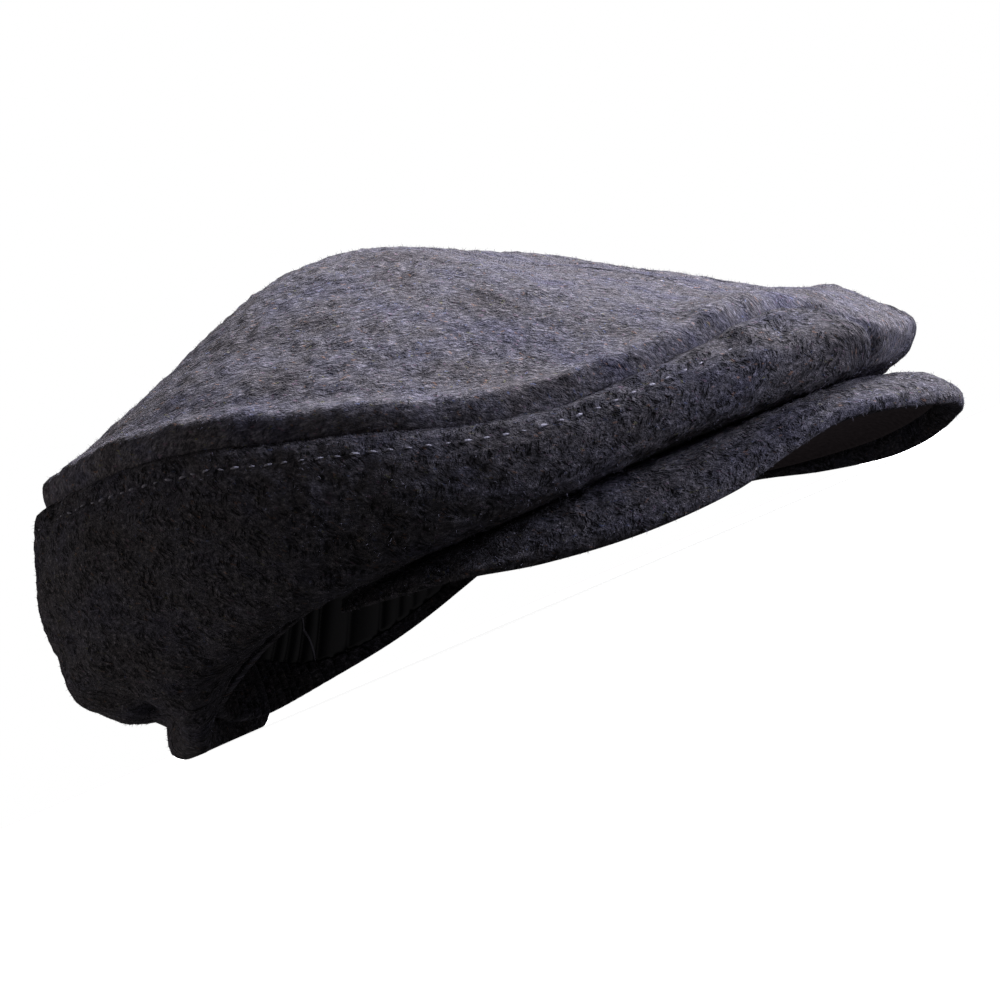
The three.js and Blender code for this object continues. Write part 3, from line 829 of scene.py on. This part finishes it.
# Fulled wool looks matt, even and a little brown next to the tweed.
underside = plain_cloth(
    "fulled wool underside", "#5a5254", roughness=0.95, thread=1.2, sheen=0.1, bump_depth=0.3, streaky=1.6
)
# Satin looks nearly black, with a soft gleam along each of its folds.
satin = plain_cloth(
    "black satin", "#1b1b20", roughness=0.36, thread=0.35, sheen=0.6, bump_depth=0.05, streaky=14
)

# The side panel, the peak and the rim strip take the tweed painted darker as shade; the top keeps the lighter
# tone.
for piece, material, node, slot in (
    (top_cloth, top_tweed, "top_panel", "tweed_top"),
    (side_cloth, shaded_side_tweed, "side_panel", "tweed_side"),
    (peak_cloth, shaded_side_tweed, "peak", "tweed_peak"),
    (peak_under, underside, "peak_underlay", "underlay_cloth"),
    (rim_cloth, shaded_side_tweed, "rim_strip", "tweed_rim"),
    (satin_band, satin, "sweatband", "satin"),
):
    piece.data.materials.append(material)
    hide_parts(node)
    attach(piece, "root")
print("materials", [underside.name, satin.name])

# %% [markdown]
# Two things are repeated many times: the loose fibres of the nap and the topstitches under the seam. A small
# tree of geometry nodes scatters a fibre over the outer face, and another sets a stitch at even steps along a
# line. Modelling each by hand would take days, and a bump alone wouldn't break the outline. The seeds are
# fixed, so that the result is the same each time.


# %% Helpers for repeated shapes
def node_group(name, sockets):
    """An empty tree of geometry nodes with named inputs, its input node and its geometry output."""
    tree = bpy.data.node_groups.new(name, "GeometryNodeTree")
    tree.interface.new_socket("Geometry", in_out="INPUT", socket_type="NodeSocketGeometry")
    for title, kind in sockets:
        tree.interface.new_socket(title, in_out="INPUT", socket_type=kind)
    tree.interface.new_socket("Geometry", in_out="OUTPUT", socket_type="NodeSocketGeometry")
    return tree, add(tree, "NodeGroupInput")


def finish_group(tree, given, instances):
    real = add(tree, "GeometryNodeRealizeInstances", {0: instances.outputs[0]})
    dressed = {"Geometry": real.outputs[0], "Material": given.outputs["Material"]}
    done = add(tree, "GeometryNodeSetMaterial", dressed)
    add(tree, "NodeGroupOutput", {0: done.outputs[0]})


def repeat(name, source, group, values):
    """Runs a group on a source piece and keeps what it makes as a plain mesh."""
    modifier = source.modifiers.new("repeat", "NODES")
    modifier.node_group = group
    for item in group.interface.items_tree:
        if item.in_out == "INPUT" and item.name in values:
            modifier[item.identifier] = values[item.name]
    seen_by = bpy.context.evaluated_depsgraph_get()
    mesh = bpy.data.meshes.new_from_object(source.evaluated_get(seen_by))
    source.modifiers.remove(modifier)
    mesh.name = name
    piece = bpy.data.objects.new(name, mesh)
    bpy.context.scene.collection.objects.link(piece)
    return piece


def hidden_shape(name, points, faces):
    """A small shape to be repeated. It is not part of the scene itself."""
    mesh = bpy.data.meshes.new(name)
    mesh.from_pydata((np.array(points) * MM).tolist(), [], faces)
    return bpy.data.objects.new(name, mesh)


# %% [markdown]
# The nap of wool is a fuzz of loose fibres that stand off the cloth. Hair curves would have to be made a mesh
# in the end, so a bent, tapering sliver of seven faces is scattered instead, turned and scaled at random.
# Real fibres are 0.03 mm thick, too fine to show, so these are 0.1 mm.

# %% The loose fibres of the nap
FIBRE = {"length": 1.0, "thick": 0.1, "bend": 0.35, "patches_per_mm": 0.42}


def fibre_shape():
    """A bent, tapering fibre with three sides, which starts a little below the surface."""
    points = []
    for share, width in ((0.0, 1.0), (0.5, 0.75)):
        for k in range(3):
            turn = 2 * np.pi * k / 3
            off = FIBRE["thick"] * width / 2
            x = FIBRE["bend"] * share**2 + off * np.cos(turn)
            points.append((x, off * np.sin(turn), FIBRE["length"] * (share - 0.1)))
    points.append((FIBRE["bend"] + 0.3, 0, FIBRE["length"] * 0.8))
    sides = [(k, (k + 1) % 3, 3 + (k + 1) % 3, 3 + k) for k in range(3)]
    tip = [(3 + k, 3 + (k + 1) % 3, 6) for k in range(3)]
    return hidden_shape("fibre", points, [(2, 1, 0), *sides, *tip])


def nap_group():
    sockets = [
        ("Fibre", "NodeSocketObject"),
        ("Density", "NodeSocketFloat"),
        ("Tilt", "NodeSocketFloat"),
        ("Seed", "NodeSocketInt"),
        ("Material", "NodeSocketMaterial"),
    ]
    tree, given = node_group("nap", sockets)
    outside = add(tree, "GeometryNodeInputNamedAttribute", {"Name": "outside"}, data_type="FLOAT")
    spread = {
        "Mesh": given.outputs["Geometry"],
        "Selection": outside.outputs[0],
        "Density": given.outputs["Density"],
        "Seed": given.outputs["Seed"],
    }
    points = add(tree, "GeometryNodeDistributePointsOnFaces", spread, distribute_method="RANDOM")
    negative = add(tree, "ShaderNodeMath", {0: given.outputs["Tilt"], 1: -1.0}, operation="MULTIPLY")
    most = add(tree, "ShaderNodeCombineXYZ", {0: given.outputs["Tilt"], 1: given.outputs["Tilt"], 2: np.pi})
    least = add(tree, "ShaderNodeCombineXYZ", {0: negative.outputs[0], 1: negative.outputs[0], 2: -np.pi})
    ends = {0: least.outputs[0], 1: most.outputs[0], "Seed": given.outputs["Seed"]}
    turns = add(tree, "FunctionNodeRandomValue", ends, data_type="FLOAT_VECTOR")
    turned = {"Rotation": points.outputs["Rotation"], "Rotate By": turns.outputs[0]}
    rotation = add(tree, "FunctionNodeRotateRotation", turned, rotation_space="LOCAL")
    sizes = add(tree, "FunctionNodeRandomValue", {2: 0.5, 3: 1.35, "Seed": 7}, data_type="FLOAT")
    shape = add(tree, "GeometryNodeObjectInfo", {"Object": given.outputs["Fibre"]})
    placed = {
        "Points": points.outputs["Points"],
        "Instance": shape.outputs["Geometry"],
        "Rotation": rotation.outputs[0],
        "Scale": sizes.outputs[1],
    }
    finish_group(tree, given, add(tree, "GeometryNodeInstanceOnPoints", placed))
    return tree


def fibre_material():
    material, tree = new_material("loose wool fibres")
    place = add(tree, "ShaderNodeTexCoord").outputs["Object"]
    patches = {"Vector": place, "Scale": FIBRE["patches_per_mm"] / MM, "Detail": 1.0}
    grain = add(tree, "ShaderNodeTexNoise", patches)
    tone = add(tree, "ShaderNodeValToRGB", {0: grain.outputs[0]})
    set_ramp(tone, [(0.35, "#3c3c46"), (0.5, "#6f6d7a"), (0.65, "#9a98a6")])
    inputs = {"Base Color": tone.outputs[0], "Roughness": 1.0, "Specular IOR Level": 0.05}
    shader = add(tree, "ShaderNodeBsdfPrincipled", inputs)
    add(tree, "ShaderNodeOutputMaterial", {"Surface": shader.outputs[0]})
    return material


# Loose fibres look like a faint, pale fuzz against the light.
wool_fibres = fibre_material()
fibre = fibre_shape()
nap = nap_group()
for name, cloth, density, seed, slot in (
    ("top_nap", top_cloth, 0.22e6, 3, "tweed_top"),
    ("side_nap", side_cloth, 0.18e6, 5, "tweed_side"),
    ("peak_nap", peak_cloth, 0.18e6, 8, "tweed_peak"),
):
    values = {"Fibre": fibre, "Density": density * fine, "Tilt": 1.2, "Seed": seed, "Material": wool_fibres}
    piece = repeat(name, cloth, nap, values)
    print("faces", faces_of(piece))
    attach(piece, "root")

# %% [markdown]
# Below the seam runs a line of topstitches in a paler thread, which holds the turned-in edges flat. Towards
# the front and the back it sinks into the nap.

# %% The topstitches
STITCH = {"length": 3.0, "thick": 0.75, "step": 4.9, "below": 7.6, "raised": 0.28, "sink": 0.6}
STITCH_LINE = {"from": 26, "rise": (32, 48), "fall": (106, 136), "to": 150}


def stitch_shape():
    """A short, thick thread with rounded ends."""
    points, faces = [], []
    around = 6
    for share in np.linspace(0, 1, 5):
        width = STITCH["thick"] / 2 * (0.25 + 0.75 * np.sin(np.pi * share))
        for k in range(around):
            turn = 2 * np.pi * k / around
            x, z = width * np.cos(turn), width * np.sin(turn)
            points.append((x, STITCH["length"] * (share - 0.5), z - 0.5 * (2 * share - 1) ** 2))
    for i in range(4):
        for k in range(around):
            low, high = i * around + k, i * around + (k + 1) % around
            faces.append((low, high, high + around, low + around))
    faces.append(tuple(reversed(range(around))))
    faces.append(tuple(range(4 * around, 5 * around)))
    return hidden_shape("stitch", points, faces)


def stitch_group():
    sockets = [
        ("Stitch", "NodeSocketObject"),
        ("Step", "NodeSocketFloat"),
        ("Material", "NodeSocketMaterial"),
    ]
    tree, given = node_group("topstitch", sockets)
    line = add(tree, "GeometryNodeMeshToCurve", {"Mesh": given.outputs["Geometry"]})
    even = {"Curve": line.outputs[0], "Length": given.outputs["Step"]}
    steps = add(tree, "GeometryNodeResampleCurve", even, mode="LENGTH")
    heading = add(tree, "GeometryNodeInputTangent")
    normal = add(tree, "GeometryNodeInputNamedAttribute", {"Name": "out"}, data_type="FLOAT_VECTOR")
    along = add(tree, "FunctionNodeAlignRotationToVector", {"Vector": heading.outputs[0]}, axis="Y")
    up = {"Rotation": along.outputs[0], "Vector": normal.outputs[0]}
    upright = add(tree, "FunctionNodeAlignRotationToVector", up, axis="Z", pivot_axis="Y")
    jitter = {0: (-0.2, -0.1, -0.24), 1: (0.2, 0.1, 0.24), "Seed": 4}
    wobble = add(tree, "FunctionNodeRandomValue", jitter, data_type="FLOAT_VECTOR")
    turned = {"Rotation": upright.outputs[0], "Rotate By": wobble.outputs[0]}
    rotation = add(tree, "FunctionNodeRotateRotation", turned, rotation_space="LOCAL")
    sizes = add(tree, "FunctionNodeRandomValue", {2: 0.55, 3: 1.1, "Seed": 6}, data_type="FLOAT")
    shape = add(tree, "GeometryNodeObjectInfo", {"Object": given.outputs["Stitch"]})
    placed = {
        "Points": steps.outputs[0],
        "Instance": shape.outputs["Geometry"],
        "Rotation": rotation.outputs[0],
        "Scale": sizes.outputs[1],
    }
    finish_group(tree, given, add(tree, "GeometryNodeInstanceOnPoints", placed))
    return tree


def stitch_line(start, end):
    """A line on the side panel, a fixed distance below the seam, with the direction out of the cloth."""
    angles = np.linspace(start, end, 240)
    rings = np.linspace(SEAM_RING - 0.6, SEAM_RING, 60)
    fan = bare_crown(angles, np.broadcast_to(rings, (len(angles), len(rings))))
    to_seam = lengths_along(fan[:, ::-1], 1)[:, ::-1]
    place = np.array([np.interp(-STITCH["below"], -row, rings) for row in to_seam])[:, None]
    points = crown(angles, place)[:, 0]
    out = normals_of(bare_crown, angles, place, TOP_RING)[:, 0]
    near = from_front(angles)
    shown = smoothstep(near, *STITCH_LINE["rise"]) * (1 - smoothstep(near, *STITCH_LINE["fall"]))
    points = points + out * (STITCH["raised"] - STITCH["sink"] * (1 - shown))[:, None]
    mesh = bpy.data.meshes.new("stitch line")
    edges = [(i, i + 1) for i in range(len(angles) - 1)]
    mesh.from_pydata((points * MM + np.array(shift)).tolist(), edges, [])
    mesh.attributes.new("out", "FLOAT_VECTOR", "POINT").data.foreach_set("vector", out.ravel())
    line = bpy.data.objects.new("stitch line", mesh)
    bpy.context.scene.collection.objects.link(line)
    return line


# Waxed thread looks paler and smoother than the wool round it.
thread = plain_cloth(
    "pale grey thread", "#918f9c", roughness=0.7, thread=0.5, sheen=0.25, bump_depth=0.08, streaky=0.3
)
stitch = stitch_shape()
topstitch = stitch_group()
for name, ends in (
    ("right_topstitch", (STITCH_LINE["from"], STITCH_LINE["to"])),
    ("left_topstitch", (360 - STITCH_LINE["to"], 360 - STITCH_LINE["from"])),
):
    line = stitch_line(*ends)
    values = {"Stitch": stitch, "Step": STITCH["step"] * MM, "Material": thread}
    piece = repeat(name, line, topstitch, values)
    bpy.data.objects.remove(line)
    print("faces", faces_of(piece))
    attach(piece, "root")
band_seam.data.materials.append(thread)
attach(band_seam, "root")

# %% [markdown]
# The photograph was taken from low down on the cap's right, with the camera tipped to one side. Here the
# camera stays just above the floor at the same angle to the cap.

# %% Camera
CAMERA = {"eye": (-711.68, -362.62, 5.0), "target": (5.24, -8.34, 34.25), "roll": -23.1, "lens": 98.5}
camera_data = bpy.data.cameras.new("camera")
camera_data.lens = CAMERA["lens"]
camera_data.sensor_width = 36
camera_data.clip_start = 2 * MM
camera = bpy.data.objects.new("camera", camera_data)
bpy.context.scene.collection.objects.link(camera)
eye, target = (Vector(CAMERA[key]) * MM + shift for key in ("eye", "target"))
camera.location = eye
aim = (target - eye).to_track_quat("-Z", "Y").to_matrix().to_4x4()
camera.matrix_world = Matrix.Translation(eye) @ aim @ Matrix.Rotation(np.radians(CAMERA["roll"]), 4, "Z")
bpy.context.scene.camera = camera
print("camera", round((target - eye).length, 3), "m from the point it looks at")

# %% [markdown]
# A large soft light hangs over the cap, and a weaker one stands in front of it. The pale floor doesn't throw
# light back up, so the sides stay as dark as in the photograph.

# %% Floor and lights
FLOOR_HALF = 0.75
WHITE = (1, 1, 1, 1)
floor_mesh = bpy.data.meshes.new("floor")
corners = [(x * FLOOR_HALF, y * FLOOR_HALF, 0) for x, y in ((-1, -1), (1, -1), (1, 1), (-1, 1))]
floor_mesh.from_pydata(corners, [], [(0, 1, 2, 3)])
floor = bpy.data.objects.new("floor", floor_mesh)
bpy.context.scene.collection.objects.link(floor)
# Paper that glows a little looks like a lit white background, with only a faint shadow on it.
paper, paper_tree = new_material("pale paper floor")
paper_look = {"Base Color": colour("#f6f6f6"), "Roughness": 1.0, "Specular IOR Level": 0.0}
paper_look |= {"Emission Color": WHITE, "Emission Strength": 0.95}
paper_shader = add(paper_tree, "ShaderNodeBsdfPrincipled", paper_look)
add(paper_tree, "ShaderNodeOutputMaterial", {"Surface": paper_shader.outputs[0]})
floor_mesh.materials.append(paper)
floor.visible_diffuse = False
floor.visible_glossy = False


def soft_light(name, place, size, power, hex_value):
    data = bpy.data.lights.new(name, "AREA")
    data.shape = "DISK"
    data.size = size
    data.energy = power
    data.color = colour(hex_value)[:3]
    light = bpy.data.objects.new(name, data)
    light.location = place
    light.rotation_euler = (LIT_POINT - Vector(place)).to_track_quat("-Z", "Y").to_euler()
    bpy.context.scene.collection.objects.link(light)


LIT_POINT = Vector((0, 0, 0.05))
soft_light("overhead", (1.05, -0.8, 1.25), size=0.9, power=96, hex_value="#fcfbff")
soft_light("front", (0.1, -1.5, 0.26), size=0.45, power=30, hex_value="#eceeff")
soft_light("behind", (-0.45, 1.5, 0.3), size=0.5, power=5, hex_value="#fff6ee")

world = bpy.data.worlds.new("studio")
world.use_nodes = True
bpy.context.scene.world = world
sky = world.node_tree
sky.nodes.clear()
seen = add(sky, "ShaderNodeLightPath").outputs["Is Camera Ray"]
dim = add(sky, "ShaderNodeBackground", {"Color": colour("#dcd9dc"), "Strength": 0.11})
white = add(sky, "ShaderNodeBackground", {"Color": WHITE, "Strength": 1.0})
both = add(sky, "ShaderNodeMixShader", {0: seen, 1: dim.outputs[0], 2: white.outputs[0]})
add(sky, "ShaderNodeOutputWorld", {"Surface": both.outputs[0]})
bpy.context.scene.view_settings.view_transform = "Standard"
